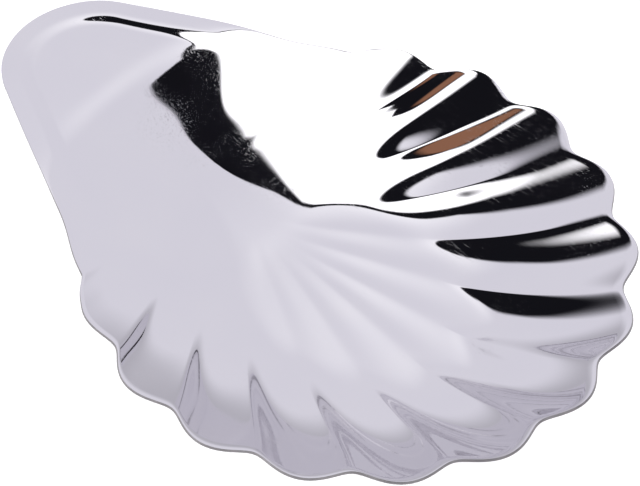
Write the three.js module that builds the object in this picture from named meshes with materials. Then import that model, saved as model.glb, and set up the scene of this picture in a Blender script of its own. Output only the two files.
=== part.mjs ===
// Shell tray: a serving dish pressed from one sheet of polished stainless steel.
// The sheet is a loft from a spine, which runs down the middle of the tray, to a rim
// with a thumb tab at one end and a fan of scalloped lobes round the bowl.
// Millimetres, +Z up, +X from the tab to the fan, and the origin under the middle.
import * as THREE from 'three';

// Sheet
const SHEET_THICKNESS = 0.9;

// Fluted bowl
const NOTCH_RADIUS = 85.5; // from the bowl's centre to the notches, ahead of it
const SIDE_PULL = 1.8; // how much nearer the notches beside it are
const LOBE_DEPTH = 4.9;
const LOBE_RISE = 1.2; // edge of a lobe above its notches
const LOBE_COUNT = 13;
const FAN_ANGLE = THREE.MathUtils.degToRad(262.2);
const NOTCH_SOFTNESS = 0.48; // 0 gives a sharp notch, 1 a plain wave
const BOWL_DEPTH = 23.9; // from the plane of the notches to the floor
const FLOOR_PRESS = 3.4; // how far the flat floor is pressed up into the round of the bowl
const FLOOR_BLEND = 1.4; // rise over which the flat floor runs into the round
const FLOOR_SHARE = 0.079; // first part of each run from the spine, before it climbs

// Walls: powers of their rise along a run
const FAN_STEEPNESS = 3.66; // at the middle of the fan
const SIDE_STEEPNESS = 1.15; // at the last notch
const NECK_STEEPNESS = 2.33; // beside the neck
const TAB_STEEPNESS = 2.64; // round the tip of the tab
const NECK_SHARE = 0.5; // share of the tab's edge from the last notch to the neck
const RIM_WIDTH = 1.5; // of the levelled edge of the lobes
const RIM_STEEPNESS = 2.04; // of the part of the rise that comes near the rim
const SIDE_RIM_SHARE = 0.53; // that part, at the last notch; there is none at the middle of the fan

// Flutes, pressed below the wall between the ridges; shares are of a run from the spine
const FLUTE_DEPTH = 2.36;
const FLUTE_START = 0.362; // share where the middle flute starts
const FLUTE_SHIFT = 0.127; // how much later the last flute starts
const FLUTE_GROWTH = 0.425; // share over which a flute grows to its depth
const FLUTE_END = 0.573; // share over which it dies out to the flat rim
const FLUTE_ROUNDNESS = 0.84; // 1 gives a flute the section of a wave, less a broader bottom
const RIDGE_SOFTNESS = 0.044; // 0 gives a sharp ridge, 1 a plain wave

// Thumb tab
const TIP_CENTRE_DISTANCE = 118.7; // from the bowl's centre to the tip arc's centre
const TIP_RADIUS = 31.1;
const SHOULDER = 2.7; // how far the rim stands out at the last notch
const SHOULDER_FADE = 0.35; // share of the tab's edge where that dies out
const EDGE_BULGE = 0.9; // of the tab's edge between the last notch and the tip arc
const LIP_HEIGHT = 3.5; // lip of the tab above the plane of the notches
const LIP_FALL = 50; // run along the tray over which the lip comes down to the notches
const LIP_WIDTH = 6.8;
const LIP_STEP = 0.74; // lip above the plate inside it
const LIP_BLEND = 3.7; // width of the slope from the plate up to the lip

// Spine: its ramp, and the places where the flutes head for it, behind the bowl's centre
const RAMP_TOP = 104.9;
const RAMP_TOP_BLEND = 7.3; // half length of the bend at the top of the ramp
const RAMP_FOOT = 40.5;
const RAMP_FOOT_BLEND = 57.3; // half length of the bend at its foot
const MIDDLE_FOCUS = 30.6;
const LAST_FOCUS = 68.4;
const FOCUS_POWER = 0.85; // below 1, most of the shift is near the middle of the fan

// Facets
const LOBE_FACETS = 10;
const RIDGE_CROWDING = 0.5; // above 0, the facets of a lobe crowd towards its ridges
const EDGE_FACETS = 20;
const TIP_FACETS = 14;
const RUN_FACETS = 13;
const RUN_CROWDING = 1.3; // above 1, the facets of a run crowd towards the rim
const SPINE_GAP = 0.07; // share of each run that the strip along the spine takes

const { lerp } = THREE.MathUtils;
const FAN_HALF_ANGLE = FAN_ANGLE / 2;
const LOBE_PITCH = FAN_ANGLE / LOBE_COUNT;
const PLATE_HEIGHT = LIP_HEIGHT - LIP_STEP;
const ROUND_DEPTH = BOWL_DEPTH + FLOOR_PRESS;
const RAMP_SLOPE = (PLATE_HEIGHT + ROUND_DEPTH) / (RAMP_TOP - RAMP_FOOT);
const LAST_NOTCH = polar(FAN_HALF_ANGLE, notchRadius(FAN_HALF_ANGLE));
const TIP_CENTRE = new THREE.Vector2(-TIP_CENTRE_DISTANCE, 0);
const TANGENT_ANGLE = edgeTangentAngle();
const EDGE_END = onTipArc(TANGENT_ANGLE);

function smoothStep(value) {
  return THREE.MathUtils.smootherstep(value, 0, 1);
}

// A bend from level to a slope of 1, with a blend of the given half length
function softBend(run, blend) {
  if (run <= -blend) return 0;
  if (run >= blend) return run;
  const part = (run + blend) / (2 * blend);
  return 2 * blend * (part ** 3 - part ** 4 / 2);
}

function polar(angle, length) {
  return new THREE.Vector2(Math.cos(angle), Math.sin(angle)).multiplyScalar(length);
}

function notchRadius(angle) {
  return NOTCH_RADIUS - SIDE_PULL * Math.sin(angle) ** 2;
}

function onTipArc(angle) {
  return polar(angle, TIP_RADIUS).add(TIP_CENTRE);
}

// Angle round the tip arc where a straight edge from the last notch would run into it
function edgeTangentAngle() {
  const reach = LAST_NOTCH.clone().sub(TIP_CENTRE);
  return reach.angle() + Math.acos(TIP_RADIUS / reach.length());
}

// Height of the spine: the tab's plate, a ramp, and the bottom of the round bowl
function spineHeight(x) {
  const fall = softBend(x + RAMP_TOP, RAMP_TOP_BLEND) - softBend(x + RAMP_FOOT, RAMP_FOOT_BLEND);
  return PLATE_HEIGHT - RAMP_SLOPE * fall;
}

// 1 at the middle of a lobe, and 0 in a notch or on a ridge, which the softness rounds
function lobeSwell(place, softness) {
  if (place >= 1) return 0;
  const wave = Math.sin(Math.PI * FAN_HALF_ANGLE * (1 - place) / LOBE_PITCH);
  const full = Math.hypot(1, softness) - softness;
  return (Math.hypot(wave, softness) - softness) / full;
}

// Share of the shoulder's full width, which it has at the last notch
function shoulderShare(place) {
  return 1 - smoothStep(place < 1 ? (1 - place) * LOBE_COUNT : (place - 1) / SHOULDER_FADE);
}

// Half of the rim, at a place from 0, the middle of the fan, through 1, the last notch,
// and 2, the start of the tip arc, to 3, the tip of the tab
function rimAt(place) {
  const fan = Math.min(place, 1);
  const angle = fan * FAN_HALF_ANGLE;
  const swell = lobeSwell(place, NOTCH_SOFTNESS);
  const point = polar(angle, notchRadius(angle) + LOBE_DEPTH * swell);
  if (place > 1) {
    const bulge = polar(TANGENT_ANGLE, EDGE_BULGE * Math.sin(Math.PI * (place - 1)));
    point.lerpVectors(LAST_NOTCH, EDGE_END, place - 1).add(bulge);
  }
  if (place > 2) point.copy(onTipArc(lerp(TANGENT_ANGLE, Math.PI, place - 2)));
  point.add(polar(FAN_HALF_ANGLE, SHOULDER * shoulderShare(place)));
  const focus = -lerp(MIDDLE_FOCUS, LAST_FOCUS, fan ** FOCUS_POWER);
  const onward = place > 1 ? 1 - ((3 - place) / 2) ** 2 : 0;
  const spine = new THREE.Vector2(lerp(focus, TIP_CENTRE.x, onward), 0);
  const lip = smoothStep((LAST_NOTCH.x - point.x) / LIP_FALL);
  return { place, point, spine, fan, swell, lip, run: point.distanceTo(spine) };
}

// Share of the wall's rise at a distance along a run, which levels out at the rim
function wallRise(rim, distance) {
  const level = FLOOR_SHARE * rim.run * (1 - rim.lip);
  const flat = lerp(RIM_WIDTH, LIP_WIDTH, rim.lip);
  const reach = rim.run - flat - level;
  const climb = Math.max(distance - level, 0) / reach;
  const levelled = climb - softBend(climb - 1, flat / reach);
  const side = smoothStep(rim.fan);
  const past = Math.max(rim.place - 1, 0);
  const neck = smoothStep(past / NECK_SHARE);
  const bowlSteepness = lerp(lerp(FAN_STEEPNESS, SIDE_STEEPNESS, side), NECK_STEEPNESS, neck);
  const steepness = lerp(bowlSteepness, TAB_STEEPNESS, smoothStep(past - NECK_SHARE));
  const rimShare = SIDE_RIM_SHARE * side * (1 - neck);
  return lerp(levelled ** steepness, levelled ** RIM_STEEPNESS, rimShare);
}

// Depth of the flute at a share of a run
function fluteDepth(rim, share) {
  const grown = smoothStep((share - FLUTE_START - FLUTE_SHIFT * rim.fan) / FLUTE_GROWTH);
  const left = smoothStep((1 - share) / FLUTE_END);
  return FLUTE_DEPTH * lobeSwell(rim.place, RIDGE_SOFTNESS) ** FLUTE_ROUNDNESS * grown * left;
}

// Inner face of the sheet, at a place along the rim and a share of the run from the spine to it
function innerFace(place, share) {
  const far = place >= 0 && place <= 3;
  const rim = rimAt(Math.abs(place <= 3 ? place : 6 - place));
  const plan = rim.spine.clone().lerp(rim.point, share);
  const fromRim = rim.run * (1 - share);
  const wallTop = PLATE_HEIGHT * rim.lip + LOBE_RISE * rim.swell;
  const wall = lerp(spineHeight(plan.x), wallTop, wallRise(rim, rim.run * share));
  const lip = LIP_STEP * rim.lip * smoothStep((LIP_WIDTH + LIP_BLEND - fromRim) / LIP_BLEND);
  const round = wall + lip - fluteDepth(rim, share);
  const pressed = softBend(FLOOR_PRESS - ROUND_DEPTH - round, FLOOR_BLEND);
  return new THREE.Vector3(plan.x, far ? plan.y : -plan.y, round + pressed);
}

// Unit normal of the inner face, which points up into the tray
function faceNormal(place, share) {
  const step = 1e-4;
  const along = innerFace(place + step, share).sub(innerFace(place - step, share));
  const out = innerFace(place, share + step).sub(innerFace(place, share - step));
  return out.cross(along).normalize();
}

// Place of a column of the fan, crowded towards the ridges
function fanPlace(share) {
  const lobesLeft = (1 - share) * LOBE_COUNT / 2;
  const crowd = RIDGE_CROWDING * Math.sin(2 * Math.PI * lobesLeft) / (2 * Math.PI);
  return 1 - 2 * (lobesLeft - crowd) / LOBE_COUNT;
}

// Places of the columns of facets, once round the rim from the middle of the fan
function columnPlaces() {
  const half = [];
  const fanFacets = LOBE_FACETS * LOBE_COUNT / 2;
  for (let i = 0; i < fanFacets; i++) half.push(fanPlace(i / fanFacets));
  for (let i = 0; i < EDGE_FACETS; i++) half.push(1 + i / EDGE_FACETS);
  for (let i = 0; i < TIP_FACETS; i++) half.push(2 + i / TIP_FACETS);
  return [...half, 3, ...half.slice(1).reverse().map((place) => 6 - place)];
}

function rowShares() {
  const shares = [];
  for (let i = 0; i <= RUN_FACETS; i++) {
    shares.push(1 - (1 - SPINE_GAP) * (1 - i / RUN_FACETS) ** RUN_CROWDING);
  }
  return shares;
}

// One column of the sheet: out along the inner face to the rim, round it, and back under the sheet
function sheetColumn(place, shares) {
  const inner = shares.map((share) => innerFace(place, share));
  const outer = shares.map((share, row) => {
    return inner[row].clone().addScaledVector(faceNormal(place, share), -SHEET_THICKNESS);
  });
  const last = RUN_FACETS;
  const outward = inner[last].clone().sub(inner[last - 1]).normalize();
  const edge = inner[last].clone().lerp(outer[last], 0.5).addScaledVector(outward, SHEET_THICKNESS / 2);
  return [...inner, edge, ...outer.reverse()];
}

// Closed mesh of the sheet, with a strip along the spine on both faces
function sheetGeometry() {
  const shares = rowShares();
  const columns = columnPlaces().map((place) => sheetColumn(place, shares));
  const rows = columns[0].length;
  const count = columns.length;
  const index = (column, row) => ((column + count) % count) * rows + row;
  const half = count / 2;
  const faces = [];
  for (let column = 0; column < count; column++) {
    for (let row = 0; row + 1 < rows; row++) {
      const [a, b] = [index(column, row), index(column, row + 1)];
      const [c, d] = [index(column + 1, row + 1), index(column + 1, row)];
      faces.push(...(column < half ? [a, b, c, a, c, d] : [b, c, d, b, d, a]));
    }
  }
  for (let column = 0; column < half; column++) {
    const across = [column, column + 1, -column - 1, -column];
    const top = across.map((item) => index(item, 0));
    const under = across.map((item) => index(item, rows - 1)).reverse();
    for (const [a, b, c, d] of [top, under]) {
      if (b !== c && a !== c) faces.push(a, b, c);
      if (a !== d && c !== d) faces.push(a, c, d);
    }
  }
  const geometry = new THREE.BufferGeometry().setFromPoints(columns.flat());
  geometry.setIndex(faces);
  geometry.computeVertexNormals();
  geometry.computeBoundingBox();
  const { min, max } = geometry.boundingBox;
  geometry.translate(-(min.x + max.x) / 2, 0, -min.z);
  return geometry;
}

const polishedSteel = new THREE.MeshStandardMaterial({ color: 0xd4d2da, roughness: 0.06, metalness: 1 });
const sheet = new THREE.Mesh(sheetGeometry(), polishedSteel);
sheet.name = 'shell_sheet';

const tray = new THREE.Group();
tray.add(sheet);

export default tray;
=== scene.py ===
"""Shell tray: the looks of a serving dish pressed from one sheet of polished stainless steel."""

import math

import bpy
import numpy as np
from mathutils import Matrix, Vector


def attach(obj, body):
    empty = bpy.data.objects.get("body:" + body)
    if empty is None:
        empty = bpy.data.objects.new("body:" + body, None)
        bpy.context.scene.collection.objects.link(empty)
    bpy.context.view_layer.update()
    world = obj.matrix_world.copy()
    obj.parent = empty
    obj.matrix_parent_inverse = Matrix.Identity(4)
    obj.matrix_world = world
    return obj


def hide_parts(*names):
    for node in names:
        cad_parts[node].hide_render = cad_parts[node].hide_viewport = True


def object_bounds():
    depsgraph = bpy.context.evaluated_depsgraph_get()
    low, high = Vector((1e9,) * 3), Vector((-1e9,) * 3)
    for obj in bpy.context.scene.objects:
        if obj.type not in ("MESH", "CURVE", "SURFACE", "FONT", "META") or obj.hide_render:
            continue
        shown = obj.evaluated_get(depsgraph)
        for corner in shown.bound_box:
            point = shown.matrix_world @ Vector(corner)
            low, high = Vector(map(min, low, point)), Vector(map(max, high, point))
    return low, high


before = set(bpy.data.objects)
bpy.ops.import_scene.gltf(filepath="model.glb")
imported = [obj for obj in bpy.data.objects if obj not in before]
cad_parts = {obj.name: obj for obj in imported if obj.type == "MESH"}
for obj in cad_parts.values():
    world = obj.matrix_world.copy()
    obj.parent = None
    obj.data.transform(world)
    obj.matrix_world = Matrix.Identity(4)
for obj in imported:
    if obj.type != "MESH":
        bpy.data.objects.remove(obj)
cad_low, cad_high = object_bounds()

MM = 0.001

# The sheet's form is the solid's, but for a narrower rim, a softer step at the lip, flutes that start sooner or later,
# scallops that fade out towards the floor, and the faint ridges on it. Lengths are in millimetres. Starts, growths and
# fades are shares, of a run from the spine to the rim or of the way round the rim.
SHEET_THICKNESS = 0.9
EDGE_ROUNDING = 0.4
EDGE_STEPS = 3
EDGE_ANGLE = math.radians(50)  # an edge sharper than this is rounded

# The rim: lobes round the bowl's centre, shoulders past the last of them, and the edges that run to the tab
LOBE_COUNT = 13
FAN_ANGLE = math.radians(262.2)
NOTCH_RADIUS = 85.5
NOTCH_SOFTNESS = 0.48
SIDE_PULL = 1.8
LOBE_DEPTH = 4.9
LOBE_RISE = 1.2
SCALLOP_START = 0.32
SCALLOP_GROWTH = 0.28
SHOULDER = 2.7
SHOULDER_FADE = 0.35
EDGE_BULGE = 0.9

# The bowl: a pressed floor, and a wall whose steepness is a power
BOWL_DEPTH = 23.9
FLOOR_PRESS = 3.4
FLOOR_BLEND = 1.4
FLOOR_SHARE = 0.079
FAN_STEEPNESS = 3.66
SIDE_STEEPNESS = 1.15
NECK_STEEPNESS = 2.33
TAB_STEEPNESS = 2.64
NECK_SHARE = 0.5
RIM_WIDTH = 0.45
RIM_STEEPNESS = 2.04
SIDE_RIM_SHARE = 0.53

# The flutes, and how much later each of them starts, from the near end of the fan to the far one
FLUTE_DEPTH = 2.36
FLUTE_START = 0.362
FLUTE_GROWTH = 0.425
FLUTE_SHIFT = 0.127
FLUTE_END = 0.573
FLUTE_ROUNDNESS = 0.84
RIDGE_SOFTNESS = 0.044
LOBE_SHIFTS = np.array([0.15, 0.02, 0.035, 0.05, 0.09, 0.045, 0.03, -0.06, 0.015, 0, 0, 0, 0.15])

# The faint ridges between the flutes, which run in over the floor
FAINT_RIDGE = 0.3
FAINT_START = 0.06
FAINT_GROWTH = 0.3
FAINT_SOFTNESS = 0.5
FAINT_REACH = 0.62
FAINT_FADE = 0.35

# The tab, with a flange and a raised lip round it
TIP_CENTRE_DISTANCE = 118.7
TIP_RADIUS = 31.1
LIP_HEIGHT = 3.5
LIP_FALL = 50
LIP_WIDTH = 6.8
LIP_STEP = 1.21
LIP_BLEND = 7
STEP_WIDTH = 5.2
TIP_STEP_SHARE = 0.55
TIP_STEP_FADE = 0.8
FLANGE_START = 1.35
FLANGE_GROWTH = 0.35

# The ramp from the tab down to the floor, and the places on the spine where the runs to the rim start
RAMP_TOP = 104.9
RAMP_TOP_BLEND = 7.3
RAMP_FOOT = 40.5
RAMP_FOOT_BLEND = 57.3
MIDDLE_FOCUS = 30.6
LAST_FOCUS = 68.4
FOCUS_POWER = 0.85
LEAST_BLEND = 1e-9

# Places round half of the rim: 0 is the middle of the fan, 1 its last notch, 2 the start of the tip's arc, and 3 the
# tip. The other half runs on to 6, which is the middle of the fan again.
TIP_PLACE = 3
WHOLE_RIM = 2 * TIP_PLACE

# Columns of the flat blank round half of the rim, and its rows from the spine to the rim
LOBE_COLUMNS = 34
EDGE_COLUMNS = 40
TIP_COLUMNS = 30
ROWS = 78
RIDGE_CROWDING = 0.7  # above 0, the columns of a lobe crowd towards its ridges
MERGE_GAP = 0.01
LEAST_EDGE = 0.001
EDGE_SLOT = 1  # the sheet's second material

FAN_HALF_ANGLE = FAN_ANGLE / 2
LOBE_PITCH = FAN_ANGLE / LOBE_COUNT
PLATE_HEIGHT = LIP_HEIGHT - LIP_STEP
ROUND_DEPTH = BOWL_DEPTH + FLOOR_PRESS
RAMP_SLOPE = (PLATE_HEIGHT + ROUND_DEPTH) / (RAMP_TOP - RAMP_FOOT)
LAST_RADIUS = NOTCH_RADIUS - SIDE_PULL * math.sin(FAN_HALF_ANGLE) ** 2
LAST_NOTCH = LAST_RADIUS * np.array([math.cos(FAN_HALF_ANGLE), math.sin(FAN_HALF_ANGLE)])
TIP_CENTRE = np.array([-TIP_CENTRE_DISTANCE, 0])

# The bowl's centre, in the frame of the solid
BOWL_CENTRE_X = cad_low.x / MM + TIP_CENTRE_DISTANCE + TIP_RADIUS + SHEET_THICKNESS / 2
RIM_HEIGHT = BOWL_DEPTH + SHEET_THICKNESS

# Sockets of a Mix node that mixes colours
MIX_SHARE, MIX_UNDER, MIX_OVER = 0, 6, 7
MIX_COLOUR = 2


def linear(hex_colour):
    """Linear colour of an sRGB hex value."""
    parts = [int(hex_colour[i:i + 2], 16) / 255 for i in (1, 3, 5)]
    return tuple(((p + 0.055) / 1.055) ** 2.4 if p > 0.04045 else p / 12.92 for p in parts) + (1,)


def add_node(tree, kind, inputs=None, **settings):
    """Adds a node, with its settings, and sets or links its inputs."""
    node = tree.nodes.new(kind)
    for name, value in settings.items():
        setattr(node, name, value)
    for key, value in (inputs or {}).items():
        if isinstance(value, bpy.types.NodeSocket):
            tree.links.new(value, node.inputs[key])
        else:
            node.inputs[key].default_value = value
    return node


# The sheet's form

def mix(a, b, share):
    """The value at a share of the way from a to b."""
    return a + (b - a) * share


def smooth_step(value):
    """A step from 0 to 1 that starts and ends level, with no kink that a mirror would show."""
    value = np.clip(value, 0, 1)
    return value ** 3 * (value * (value * 6 - 15) + 10)


def soft_bend(run, blend):
    """A bend from level to a slope of 1, with a blend of the given half length."""
    blend = np.maximum(blend, LEAST_BLEND)
    part = np.clip((run + blend) / (2 * blend), 0, 1)
    return np.where(run >= blend, run, 2 * blend * (part ** 3 - part ** 4 / 2))


def spine_height(x):
    """Height of the spine: the tab's plate, a ramp, and the bottom of the round bowl."""
    fall = soft_bend(x + RAMP_TOP, RAMP_TOP_BLEND) - soft_bend(x + RAMP_FOOT, RAMP_FOOT_BLEND)
    return PLATE_HEIGHT - RAMP_SLOPE * fall


def lobe_swell(place, softness):
    """1 at the middle of a lobe and 0 in a notch or on a ridge, which the softness rounds."""
    wave = np.sin(np.pi * FAN_HALF_ANGLE * (1 - place) / LOBE_PITCH)
    full = math.hypot(1, softness) - softness
    return np.where(place < 1, (np.hypot(wave, softness) - softness) / full, 0)


def rim_at(place):
    """Points of half of the rim, where the runs to them start on the spine, and how far they are fan, lobe and lip."""
    reach = LAST_NOTCH - TIP_CENTRE
    tangent = math.atan2(reach[1], reach[0]) + math.acos(TIP_RADIUS / np.hypot(*reach))
    edge_end = TIP_CENTRE + TIP_RADIUS * np.array([math.cos(tangent), math.sin(tangent)])
    fan = np.minimum(place, 1)
    angle = fan * FAN_HALF_ANGLE
    swell = lobe_swell(place, NOTCH_SOFTNESS)
    radius = NOTCH_RADIUS - SIDE_PULL * np.sin(angle) ** 2 + LOBE_DEPTH * swell
    turn = mix(tangent, np.pi, place - 2)
    bulge = EDGE_BULGE * np.sin(np.pi * (place - 1))
    shoulder = 1 - smooth_step(np.where(place < 1, (1 - place) * LOBE_COUNT, (place - 1) / SHOULDER_FADE))
    x = np.select([place <= 1, place <= 2],
                  [radius * np.cos(angle), mix(LAST_NOTCH[0], edge_end[0], place - 1) + bulge * math.cos(tangent)],
                  TIP_CENTRE[0] + TIP_RADIUS * np.cos(turn))
    y = np.select([place <= 1, place <= 2],
                  [radius * np.sin(angle), mix(LAST_NOTCH[1], edge_end[1], place - 1) + bulge * math.sin(tangent)],
                  TIP_RADIUS * np.sin(turn))
    x = x + SHOULDER * shoulder * math.cos(FAN_HALF_ANGLE)
    y = y + SHOULDER * shoulder * math.sin(FAN_HALF_ANGLE)
    focus = -mix(MIDDLE_FOCUS, LAST_FOCUS, fan ** FOCUS_POWER)
    onward = np.where(place > 1, 1 - ((TIP_PLACE - place) / (TIP_PLACE - 1)) ** 2, 0)
    spine = mix(focus, TIP_CENTRE[0], onward)
    lip = smooth_step((LAST_NOTCH[0] - x) / LIP_FALL)
    return x, y, spine, fan, swell, lip


def wall_rise(climb, fan, past):
    """Share of the wall's rise at a share of its run, steeper at the rim of the fan than beside the tab."""
    side = smooth_step(fan)
    neck = smooth_step(past / NECK_SHARE)
    steepness = mix(mix(FAN_STEEPNESS, SIDE_STEEPNESS, side), NECK_STEEPNESS, neck)
    steepness = mix(steepness, TAB_STEEPNESS, smooth_step(past - NECK_SHARE))
    at_rim = SIDE_RIM_SHARE * side * (1 - neck)
    return mix(climb ** steepness, climb ** RIM_STEEPNESS, at_rim)


def inner_face(place, share):
    """Points of the sheet's inner face, in millimetres, at places round the rim and shares of the runs to it."""
    side = np.where(place <= TIP_PLACE, 1, -1)
    place = np.where(place <= TIP_PLACE, place, WHOLE_RIM - place)
    rim_x, rim_y, spine, fan, swell, lip = rim_at(place)
    run = np.hypot(rim_x - spine, rim_y)
    past = np.maximum(place - 1, 0)

    # The scallop of the rim fades out towards the floor
    angle = fan * FAN_HALF_ANGLE
    scallop = smooth_step((share - SCALLOP_START) / SCALLOP_GROWTH)
    inset = LOBE_DEPTH * swell * share * (1 - scallop)
    x = mix(spine, rim_x, share) - inset * np.cos(angle)
    y = side * (rim_y * share - inset * np.sin(angle))

    # The wall climbs from the level floor to the flat rim or flange
    level = FLOOR_SHARE * run * (1 - lip)
    flat = mix(RIM_WIDTH, LIP_WIDTH, lip * smooth_step((place - FLANGE_START) / FLANGE_GROWTH))
    reach = run - flat - level
    climb = np.maximum(run * share - level, 0) / reach
    levelled = climb - soft_bend(climb - 1, flat / reach)
    wall_top = PLATE_HEIGHT * lip + LOBE_RISE * swell * scallop
    wall = mix(spine_height(x), wall_top, wall_rise(levelled, fan, past))

    # The lip steps up round the tab, and the flutes are pressed into the wall
    eased = mix(1, TIP_STEP_SHARE, smooth_step((past - 1) / TIP_STEP_FADE))
    step = LIP_STEP * lip * eased * smooth_step((STEP_WIDTH + LIP_BLEND - run * (1 - share)) / LIP_BLEND)
    lobe = np.rint(side * fan * LOBE_COUNT / 2).astype(int) + LOBE_COUNT // 2
    start = FLUTE_START + FLUTE_SHIFT * fan + LOBE_SHIFTS[lobe]
    fading = smooth_step((1 - share) / FLUTE_END)
    grown = smooth_step((share - start) / FLUTE_GROWTH) * fading
    flute = FLUTE_DEPTH * lobe_swell(place, RIDGE_SOFTNESS) ** FLUTE_ROUNDNESS * grown
    round_bowl = wall + step - flute

    # The floor is pressed flat, and keeps the faint ridges
    faint = smooth_step((share - FAINT_START) / FAINT_GROWTH) * fading
    nearby = smooth_step((FAINT_REACH - fan) / FAINT_FADE)
    ridge = FAINT_RIDGE * (1 - lobe_swell(place, FAINT_SOFTNESS)) * faint * nearby
    z = round_bowl + soft_bend(FLOOR_PRESS - ROUND_DEPTH - round_bowl, FLOOR_BLEND) + ridge
    return np.stack([x + BOWL_CENTRE_X, y, z + RIM_HEIGHT], axis=-1)


def blank_places(column, half_columns):
    """Places round the rim of the columns of the blank, crowded towards the ridges."""
    ends = [0, LOBE_COLUMNS * LOBE_COUNT // 2, half_columns - TIP_COLUMNS, half_columns]
    ends += [2 * half_columns - end for end in reversed(ends[:-1])]
    place = np.interp(column, ends, range(WHOLE_RIM + 1))
    from_fan = np.minimum(place, WHOLE_RIM - place)
    lobe = from_fan * LOBE_COUNT / 2
    crowd = RIDGE_CROWDING * np.sin(2 * np.pi * (lobe - 0.5)) / (2 * np.pi) * 2 / LOBE_COUNT
    crowd = np.where(from_fan < 1, crowd, 0)
    return place - np.where(place <= TIP_PLACE, crowd, -crowd)


def press_sheet(steel, edge):
    """A flat blank pressed into the fluted form, given its thickness and its rounded edge, in two materials."""
    half_columns = LOBE_COLUMNS * LOBE_COUNT // 2 + EDGE_COLUMNS + TIP_COLUMNS
    bpy.ops.object.select_all(action="DESELECT")
    bpy.ops.mesh.primitive_grid_add(x_subdivisions=2 * half_columns, y_subdivisions=ROWS, size=2)
    sheet = bpy.context.object
    sheet.name = "polished_shell"
    mesh = sheet.data
    blank = np.empty(len(mesh.vertices) * 3)
    mesh.vertices.foreach_get("co", blank)
    place = blank_places((blank[0::3] + 1) * half_columns, half_columns)
    share = (blank[1::3] + 1) / 2
    mesh.vertices.foreach_set("co", (inner_face(place, share) * MM).ravel())
    mesh.update()
    bpy.ops.object.mode_set(mode="EDIT")
    bpy.ops.mesh.select_all(action="SELECT")
    bpy.ops.mesh.remove_doubles(threshold=MERGE_GAP * MM)
    bpy.ops.mesh.dissolve_degenerate(threshold=LEAST_EDGE * MM)
    bpy.ops.mesh.normals_make_consistent(inside=False)
    bpy.ops.object.mode_set(mode="OBJECT")
    upward = sum(polygon.normal.z * polygon.area for polygon in mesh.polygons)
    if upward < 0:
        mesh.flip_normals()
    mesh.materials.append(steel)
    mesh.materials.append(edge)
    thickness = sheet.modifiers.new("thickness", "SOLIDIFY")
    thickness.material_offset_rim = EDGE_SLOT
    thickness.thickness = SHEET_THICKNESS * MM
    thickness.offset = -1
    rounding = sheet.modifiers.new("rounding", "BEVEL")
    rounding.width = EDGE_ROUNDING * MM
    rounding.segments = EDGE_STEPS
    rounding.material = EDGE_SLOT
    rounding.limit_method = "ANGLE"
    rounding.angle_limit = EDGE_ANGLE
    for modifier in (thickness, rounding):
        bpy.ops.object.modifier_apply(modifier=modifier.name)
    bpy.ops.object.shade_smooth()
    return sheet


# Materials, with patterns in millimetres

STEEL_TINTS = ("#D4D2D8", "#D8D6DA")
HAIRLINE_LENGTH = 9  # along the tray
HAIRLINE_WIDTH = 0.3  # wider than the real marks, so that they show in the picture
HAIRLINE_DEPTH = 0.0016
WAVE_LENGTH = 22
WAVE_DEPTH = 0.012
# The parts of the waves and of the hairlines, from where to where in their noise, that are scratched
CLUSTER_FROM, CLUSTER_TO = 0.42, 0.62
STREAK_FROM, STREAK_TO = 0.56, 0.76
BUFFED_ROUGHNESS = 0.03
SCRATCHED_ROUGHNESS = 0.24

# Painted shade: the cut edge's steel is coloured a darker grey than the polished face, so that it shows as a thin grey
# outline
EDGE_PAINTED_SHADE_TINTS = ("#767476", "#969396")
NICK_LENGTH = 3
SATIN_ROUGHNESS = 0.45

CARD_COLOUR = "#E6E6E6"
CARD_GLOW = 0.6
WHITE = (1, 1, 1, 1)


def polished_steel():
    """Stainless steel, buffed to a mirror: the eye sees the studio in it, a little wavy from the press, with fuzzy
    edges where the hairlines of the buffing wheel, which run along the tray, spread the reflection."""
    material = bpy.data.materials.new("buffed_stainless_steel")
    material.use_nodes = True
    tree = material.node_tree
    shader = tree.nodes["Principled BSDF"]
    place = add_node(tree, "ShaderNodeTexCoord").outputs["Object"]
    along, across = 1 / (HAIRLINE_LENGTH * MM), 1 / (HAIRLINE_WIDTH * MM)
    drawn = add_node(tree, "ShaderNodeMapping", {"Vector": place, "Scale": (along, across, across)})
    hairs = add_node(tree, "ShaderNodeTexNoise", {"Vector": drawn.outputs[0], "Scale": 1, "Detail": 1}).outputs[0]
    waves = add_node(tree, "ShaderNodeTexNoise",
                     {"Vector": place, "Scale": 1 / (WAVE_LENGTH * MM), "Detail": 1}).outputs[0]
    wavy = add_node(tree, "ShaderNodeBump", {"Strength": 1, "Distance": WAVE_DEPTH * MM, "Height": waves})
    lined = add_node(tree, "ShaderNodeBump",
                     {"Strength": 1, "Distance": HAIRLINE_DEPTH * MM, "Height": hairs, "Normal": wavy.outputs[0]})
    clusters = add_node(tree, "ShaderNodeMapRange",
                        {"Value": waves, "From Min": CLUSTER_FROM, "From Max": CLUSTER_TO})
    streaks = add_node(tree, "ShaderNodeMapRange", {"Value": hairs, "From Min": STREAK_FROM, "From Max": STREAK_TO})
    marks = add_node(tree, "ShaderNodeMath", {0: clusters.outputs[0], 1: streaks.outputs[0]}, operation="MULTIPLY")
    scratched = add_node(tree, "ShaderNodeMapRange",
                         {"Value": marks.outputs[0], "To Min": BUFFED_ROUGHNESS, "To Max": SCRATCHED_ROUGHNESS})
    tint = add_node(tree, "ShaderNodeMix",
                    {MIX_SHARE: waves, MIX_UNDER: linear(STEEL_TINTS[0]), MIX_OVER: linear(STEEL_TINTS[1])},
                    data_type="RGBA")
    tree.links.new(tint.outputs[MIX_COLOUR], shader.inputs["Base Color"])
    tree.links.new(scratched.outputs[0], shader.inputs["Roughness"])
    tree.links.new(lined.outputs[0], shader.inputs["Normal"])
    shader.inputs["Metallic"].default_value = 1
    return material


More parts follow.
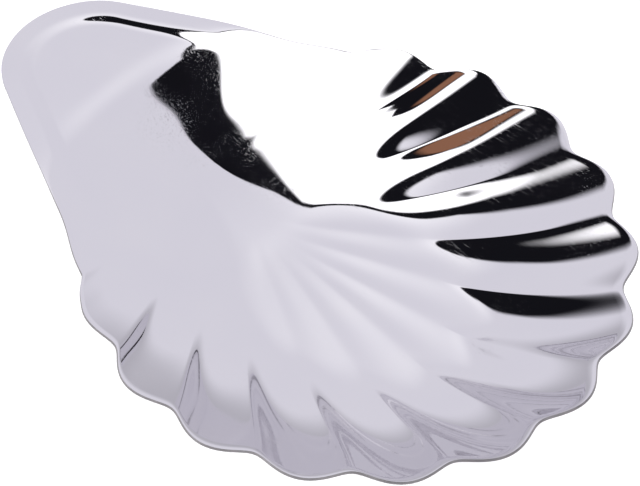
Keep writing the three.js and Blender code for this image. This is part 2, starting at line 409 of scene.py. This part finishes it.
def cut_edge_painted_shade():
    """The edge where the sheet was cut and deburred: satin steel, with painted shade that colours it a darker grey than
    steel, which the eye sees as a thin grey outline.
    """
    material = bpy.data.materials.new("satin_cut_edge_painted_shade")
    material.use_nodes = True
    tree = material.node_tree
    shader = tree.nodes["Principled BSDF"]
    place = add_node(tree, "ShaderNodeTexCoord").outputs["Object"]
    nicks = add_node(tree, "ShaderNodeTexNoise",
                     {"Vector": place, "Scale": 1 / (NICK_LENGTH * MM), "Detail": 2}).outputs[0]
    # The edge's painted shade, two darker greys that vary at random along it
    tint = add_node(tree, "ShaderNodeMix",
                    {MIX_SHARE: nicks, MIX_UNDER: linear(EDGE_PAINTED_SHADE_TINTS[0]), MIX_OVER: linear(EDGE_PAINTED_SHADE_TINTS[1])},
                    data_type="RGBA")
    tree.links.new(tint.outputs[MIX_COLOUR], shader.inputs["Base Color"])
    shader.inputs["Metallic"].default_value = 1
    shader.inputs["Roughness"].default_value = SATIN_ROUGHNESS
    return material


def pale_floor():
    """Matt white card, which holds the tray's soft shadow and shows as white."""
    material = bpy.data.materials.new("matt_white_card")
    material.use_nodes = True
    tree = material.node_tree
    tree.nodes.clear()
    rays = add_node(tree, "ShaderNodeLightPath")
    seen = add_node(tree, "ShaderNodeMath", {0: rays.outputs["Is Camera Ray"], 1: rays.outputs["Is Glossy Ray"]},
                    operation="MAXIMUM")
    glow = add_node(tree, "ShaderNodeMath", {0: seen.outputs[0], 1: CARD_GLOW}, operation="MULTIPLY")
    card = add_node(tree, "ShaderNodeBsdfDiffuse", {"Color": linear(CARD_COLOUR)})
    light = add_node(tree, "ShaderNodeEmission", {"Color": WHITE, "Strength": glow.outputs[0]})
    both = add_node(tree, "ShaderNodeAddShader", {0: card.outputs[0], 1: light.outputs[0]})
    add_node(tree, "ShaderNodeOutputMaterial", {"Surface": both.outputs[0]})
    return material


# The photograph's view: angles, lengths in millimetres, and the lens as a number of the picture's pixels
VIEW_AZIMUTH = math.radians(40.1)
VIEW_ELEVATION = math.radians(50.68)
VIEW_ROLL = math.radians(1)
VIEW_DISTANCE = 600
VIEW_SHIFT_X, VIEW_SHIFT_Y = -9.54, -6.59  # from the bowl's centre
VIEW_TARGET = (BOWL_CENTRE_X + VIEW_SHIFT_X, VIEW_SHIFT_Y, RIM_HEIGHT)
VIEW_RIGHT = (math.cos(VIEW_AZIMUTH), math.sin(VIEW_AZIMUTH), 0)
VIEW_AHEAD = (-math.sin(VIEW_AZIMUTH), math.cos(VIEW_AZIMUTH), 0)
PICTURE_WIDTH = 640
LENS_PIXELS = 1878
SENSOR_WIDTH = 36
FOCAL_LENGTH = LENS_PIXELS / PICTURE_WIDTH * SENSOR_WIDTH


def place_camera():
    """A camera at the photograph's angle, turned by its slight roll."""
    data = bpy.data.cameras.new("camera")
    data.sensor_width = SENSOR_WIDTH
    data.lens = FOCAL_LENGTH
    camera = bpy.data.objects.new("camera", data)
    bpy.context.scene.collection.objects.link(camera)
    level = math.cos(VIEW_ELEVATION)
    back = Vector((math.sin(VIEW_AZIMUTH) * level, -math.cos(VIEW_AZIMUTH) * level, math.sin(VIEW_ELEVATION)))
    right = Vector(VIEW_RIGHT)
    up = back.cross(right)
    turned_right = right * math.cos(VIEW_ROLL) + up * math.sin(VIEW_ROLL)
    turned_up = up * math.cos(VIEW_ROLL) - right * math.sin(VIEW_ROLL)
    place = (Vector(VIEW_TARGET) + back * VIEW_DISTANCE) * MM
    turn = Matrix((turned_right, turned_up, back)).transposed()
    camera.matrix_world = Matrix.Translation(place) @ turn.to_4x4()
    bpy.context.scene.camera = camera


# Studio, in linear light

BACKDROP = (0.95, 0.94, 1.01, 1)
GLOW = (1.4, 1.4, 1.42, 1)
HORIZON = (0.62, 0.61, 0.66, 1)
FRONT_WALL = (0.72, 0.71, 0.76, 1)
SOFTBOX = (1.9, 1.9, 1.9, 1)
SHADE = (0.009, 0.009, 0.012, 1)
BROWN = (0.36, 0.17, 0.1, 1)

# Borders in the studio as the tray reflects them: points to the right and ahead in the view, as shares of a ray
BACKDROP_EDGE = [
    (-1, 0.7), (-0.82, 0.56), (-0.7, 0.53), (-0.64, 0.47), (-0.6, 0.39), (-0.55, 0.33), (-0.5, 0.31), (-0.38, 0.26),
    (-0.3, 0.24), (-0.24, 0.28), (-0.17, 0.31), (-0.08, 0.34), (0.02, 0.36), (0.12, 0.38), (0.2, 0.31), (0.26, 0.24),
    (0.33, 0.225), (0.41, 0.215), (0.46, 0.175), (0.62, -0.16), (1, -0.49)]
SOFTBOX_BACK = [
    (-1, 0.45), (-0.82, 0.17), (-0.75, 0), (-0.7, -0.12), (-0.6, -0.28), (-0.5, -0.29), (-0.38, -0.16), (-0.27, 0),
    (-0.17, 0.14), (-0.08, 0.27), (0.02, 0.31), (0.12, 0.32), (0.18, 0.265), (0.21, 0.15), (0.235, 0.055), (0.26, 0),
    (0.28, -0.04), (0.36, -0.14), (0.48, -0.3), (0.62, -0.6), (1, -0.9)]
SOFTBOX_FRONT = [
    (-1, -0.9), (-0.82, -0.86), (-0.7, -0.8), (-0.6, -0.66), (-0.5, -0.52), (-0.38, -0.4), (-0.27, -0.45),
    (-0.17, -0.43), (-0.08, -0.45), (0.02, -0.5), (0.12, -0.72), (0.24, -0.77), (0.36, -0.8), (0.48, -0.82),
    (0.62, -0.85), (1, -0.88)]
# How far the borders blur, at places to the right
BACKDROP_BLUR = [
    (-1, 0.2), (-0.7, 0.11), (-0.5, 0.08), (-0.3, 0.03), (-0.1, 0.012), (0.2, 0.008), (0.46, 0.006), (1, 0.1)]
SOFTBOX_BLUR = [
    (-1, 0.2), (-0.7, 0.11), (-0.5, 0.08), (-0.3, 0.03), (-0.1, 0.012), (0.12, 0.012), (0.2, 0.035), (0.36, 0.05),
    (1, 0.1)]
# Round spots: the middle, to the right and ahead, the half width, the half depth and the blur of the edge
BROWN_CARD = (-0.31, -0.62, 0.22, 0.15, 0.15)
BACKDROP_GLOW = (-0.04, 0.16, 0.23, 0.31, 1)
DARK_CARD = (0.645, 0.07, 0.115, 0.19, 0.3)
# Where the wall behind the camera sets in, and the foot of the backdrop darkens
FRONT_WALL_START, FRONT_WALL_FULL = -0.79, -0.87
HORIZON_TOP, HORIZON_FOOT = 0.3, 0.04
# A ray past its first mirror has a larger depth than this, and sees a calmer studio
FIRST_MIRROR = 1.5
SECOND_CALM = 0.58

FLOOR_SIZE = 6  # metres


def border(tree, across, points):
    """How far ahead a border is, at each place to the right in the studio. A curve runs from 0 to 1, and a ray's shares
    from -1 to 1, so they are halved and moved on the way in, and back on the way out."""
    place = add_node(tree, "ShaderNodeMath", {0: across, 1: 0.5, 2: 0.5}, operation="MULTIPLY_ADD")
    drawn = add_node(tree, "ShaderNodeFloatCurve", {"Value": place.outputs[0]})
    curve = drawn.mapping.curves[0]
    while len(curve.points) < len(points):
        curve.points.new(0, 0)
    for point, (right, ahead) in zip(curve.points, points):
        point.location = ((right + 1) / 2, (ahead + 1) / 2)
        point.handle_type = "VECTOR"
    drawn.mapping.update()
    return add_node(tree, "ShaderNodeMath", {0: drawn.outputs[0], 1: 2, 2: -1}, operation="MULTIPLY_ADD").outputs[0]


def past_border(tree, across, away, points, blurs):
    """1 past a border and 0 before it, with a blur between."""
    past = add_node(tree, "ShaderNodeMath", {0: away, 1: border(tree, across, points)}, operation="SUBTRACT")
    past = add_node(tree, "ShaderNodeMath", {0: past.outputs[0], 1: border(tree, across, blurs)}, operation="DIVIDE")
    return add_node(tree, "ShaderNodeMapRange", {"Value": past.outputs[0], "From Min": -1, "From Max": 1},
                    interpolation_type="SMOOTHSTEP").outputs[0]


def spot(tree, across, away, right, ahead, width, depth, blur):
    """1 in the middle of a round spot, falling to 0 past its edge."""
    offsets = []
    for place, middle, size in ((across, right, width), (away, ahead, depth)):
        offsets.append(add_node(tree, "ShaderNodeMath", {0: place, 1: 1 / size, 2: -middle / size},
                                operation="MULTIPLY_ADD").outputs[0])
    both = add_node(tree, "ShaderNodeCombineXYZ", {0: offsets[0], 1: offsets[1]})
    far = add_node(tree, "ShaderNodeVectorMath", {0: both.outputs[0]}, operation="LENGTH").outputs["Value"]
    return add_node(tree, "ShaderNodeMapRange", {"Value": far, "From Min": 1 + blur, "From Max": 1 - blur},
                    interpolation_type="SMOOTHSTEP").outputs[0]


def lay_lights(tree, colour, lights):
    """The studio's lights and shades, each laid over those before it where its mask is 1."""
    for light, mask in lights:
        laid = add_node(tree, "ShaderNodeMix", {MIX_SHARE: mask, MIX_UNDER: colour, MIX_OVER: light},
                        data_type="RGBA", clamp_factor=True)
        colour = laid.outputs[MIX_COLOUR]
    return colour


def studio_world():
    """A pale grey backdrop, a softbox overhead and the dark room round them, with a brown card, a dark card and a pale
    wall behind the camera, which only the reflections show."""
    world = bpy.data.worlds.new("studio")
    bpy.context.scene.world = world
    world.use_nodes = True
    tree = world.node_tree
    tree.nodes.clear()
    ray = add_node(tree, "ShaderNodeTexCoord").outputs["Generated"]
    across, away = [add_node(tree, "ShaderNodeVectorMath", {0: ray, 1: axis}, operation="DOT_PRODUCT").outputs["Value"]
                    for axis in (VIEW_RIGHT, VIEW_AHEAD)]
    height = add_node(tree, "ShaderNodeSeparateXYZ", {0: ray}).outputs["Z"]
    low = add_node(tree, "ShaderNodeMapRange", {"Value": height, "From Min": HORIZON_TOP, "From Max": HORIZON_FOOT},
                   interpolation_type="SMOOTHSTEP").outputs[0]
    behind = add_node(tree, "ShaderNodeMapRange",
                      {"Value": away, "From Min": FRONT_WALL_START, "From Max": FRONT_WALL_FULL},
                      interpolation_type="SMOOTHSTEP").outputs[0]
    rays = add_node(tree, "ShaderNodeLightPath")
    again = add_node(tree, "ShaderNodeMath", {0: rays.outputs["Glossy Depth"], 1: FIRST_MIRROR},
                     operation="GREATER_THAN")
    calm = add_node(tree, "ShaderNodeMath", {0: again.outputs[0], 1: SECOND_CALM}, operation="MULTIPLY").outputs[0]
    backdrop = lay_lights(tree, BACKDROP, [(GLOW, spot(tree, across, away, *BACKDROP_GLOW)), (HORIZON, low)])
    colour = lay_lights(tree, SHADE, [
        (BROWN, spot(tree, across, away, *BROWN_CARD)),
        (FRONT_WALL, behind),
        (SOFTBOX, past_border(tree, across, away, SOFTBOX_FRONT, SOFTBOX_BLUR)),
        (SHADE, past_border(tree, across, away, SOFTBOX_BACK, SOFTBOX_BLUR)),
        (backdrop, past_border(tree, across, away, BACKDROP_EDGE, BACKDROP_BLUR)),
        (BACKDROP, calm),
        (SHADE, spot(tree, across, away, *DARK_CARD))])
    studio = add_node(tree, "ShaderNodeBackground", {"Color": colour})
    white = add_node(tree, "ShaderNodeBackground", {"Color": WHITE})
    shown = add_node(tree, "ShaderNodeMixShader",
                     {0: rays.outputs["Is Camera Ray"], 1: studio.outputs[0], 2: white.outputs[0]})
    add_node(tree, "ShaderNodeOutputWorld", {"Surface": shown.outputs[0]})


def lay_floor():
    """The card under the tray."""
    bpy.ops.object.select_all(action="DESELECT")
    bpy.ops.mesh.primitive_plane_add(size=FLOOR_SIZE)
    floor = bpy.context.object
    floor.name = "floor"
    floor.data.materials.append(pale_floor())


place_camera()
studio_world()
lay_floor()
shell = press_sheet(polished_steel(), cut_edge_painted_shade())
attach(shell, "root")
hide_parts("shell_sheet")
bpy.context.scene.view_settings.view_transform = "Standard"
